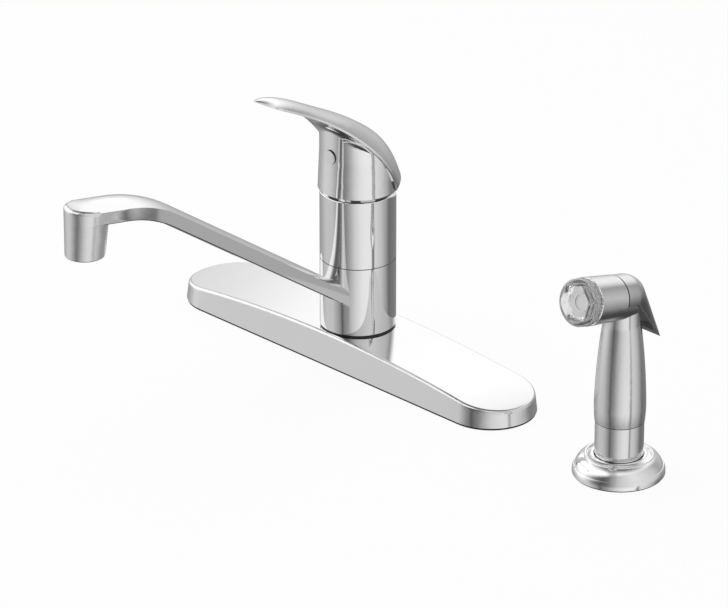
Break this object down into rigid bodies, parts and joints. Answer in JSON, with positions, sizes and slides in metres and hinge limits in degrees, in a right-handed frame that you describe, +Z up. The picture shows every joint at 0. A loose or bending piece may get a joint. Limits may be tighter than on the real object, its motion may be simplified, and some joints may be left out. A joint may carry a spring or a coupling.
{
  "type": "kitchen faucet",
  "caption": "Chrome single-lever kitchen faucet on a long deck plate, with a low swing spout and a separate pull-out side sprayer standing in its own round base.",
  "frame": {"origin": "on the body's axis at the sink deck, midway between the deck studs", "axes": "+X along the deck plate towards the sprayer, -Y towards the user along the spout, +Z up"},
  "size_m": [0.3599, 0.2377, 0.1752],
  "materials": {
    "chrome": "polished chrome plate",
    "brass": "machined brass",
    "steel": "stainless steel",
    "black_rubber": "moulded black rubber",
    "black_plastic": "moulded black plastic",
    "white_plastic": "moulded white plastic",
    "white_ceramic": "lapped ceramic",
    "clear_plastic": "clear moulded plastic"
  },
  "bodies": {
    "base": {"deck_plate": "chrome", "deck_gasket": "black_rubber", "support_plate": "steel", "stud_inserts": "brass", "valve_body": "brass", "flange_nut": "brass", "foot_ring": "black_plastic", "head_ring": "black_plastic", "spout_seals": "black_rubber", "spout_stop_pin": "steel", "diverter_body": "white_plastic", "cartridge_base": "white_plastic", "cartridge_seals": "black_rubber", "fixed_disc": "white_ceramic", "cartridge_housing": "white_plastic", "cartridge_nut": "brass", "spray_base": "chrome", "spray_base_gasket": "black_rubber"},
    "spout": {"spout": "chrome", "aerator_housing": "chrome", "aerator_screen": "steel", "aerator_washer": "black_rubber"},
    "turret": {"cartridge_carrier": "white_plastic", "lever_pin": "steel", "drive_cap": "black_plastic", "bonnet": "chrome"},
    "disc": {"moving_disc": "white_ceramic", "disc_driver": "white_plastic"},
    "lever": {"lever_handle": "chrome", "cartridge_stem": "steel", "handle_set_screw": "steel", "index_button": "chrome"},
    "diverter": {"diverter_spool": "white_plastic"},
    "sprayer": {"spray_shell": "chrome", "spray_collar": "chrome", "hose_fitting": "brass", "spray_nozzle": "clear_plastic", "nozzle_core": "white_plastic", "nozzle_seal": "black_rubber", "trigger_pin": "steel", "plunger_spring": "steel"},
    "trigger": {"trigger_lever": "chrome"},
    "plunger": {"valve_plunger": "white_plastic", "plunger_seal": "black_rubber"}
  },
  "joints": [
    {"name": "spout_swivel", "type": "hinge", "parent": "base", "child": "spout", "pos_m": [0, 0, 0.04], "axis": [0, 0, 1], "range_deg": [-60, 60]},
    {"name": "temperature_turn", "type": "hinge", "parent": "base", "child": "turret", "pos_m": [0, 0, 0.09], "axis": [0, 0, 1], "range_deg": [-50, 50]},
    {"name": "lever_lift", "type": "hinge", "parent": "turret", "child": "lever", "pos_m": [0, 0, 0.097], "axis": [-1, 0, 0], "range_deg": [0, 15]},
    {"name": "disc_slide", "type": "slide", "parent": "turret", "child": "disc", "axis": [0, -1, 0], "range_m": [0, 0.0035]},
    {"name": "diverter_shift", "type": "slide", "parent": "base", "child": "diverter", "axis": [0, -1, 0], "range_m": [0, 0.0026]},
    {"name": "sprayer_lift", "type": "slide", "parent": "base", "child": "sprayer", "axis": [0, 0, 1], "range_m": [0, 0.15]},
    {"name": "trigger_press", "type": "hinge", "parent": "sprayer", "child": "trigger", "pos_m": [0.205, -0.01035, 0.10515], "axis": [-1, 0, 0], "range_deg": [0, 8], "stiffness_Nm_per_rad": 0.5, "springref_deg": -5.73},
    {"name": "plunger_slide", "type": "slide", "parent": "sprayer", "child": "plunger", "axis": [0, -0.2079, -0.9781], "range_m": [0, 0.0011], "deforming": ["plunger_spring"]}
  ],
  "couplings": [
    {"joint": "disc_slide", "follows": "lever_lift", "m_per_rad": 0.013},
    {"joint": "plunger_slide", "follows": "trigger_press", "m_per_rad": 0.0076},
    {"joint": "diverter_shift", "follows": "trigger_press", "m_per_rad": 0.0179}
  ]
}
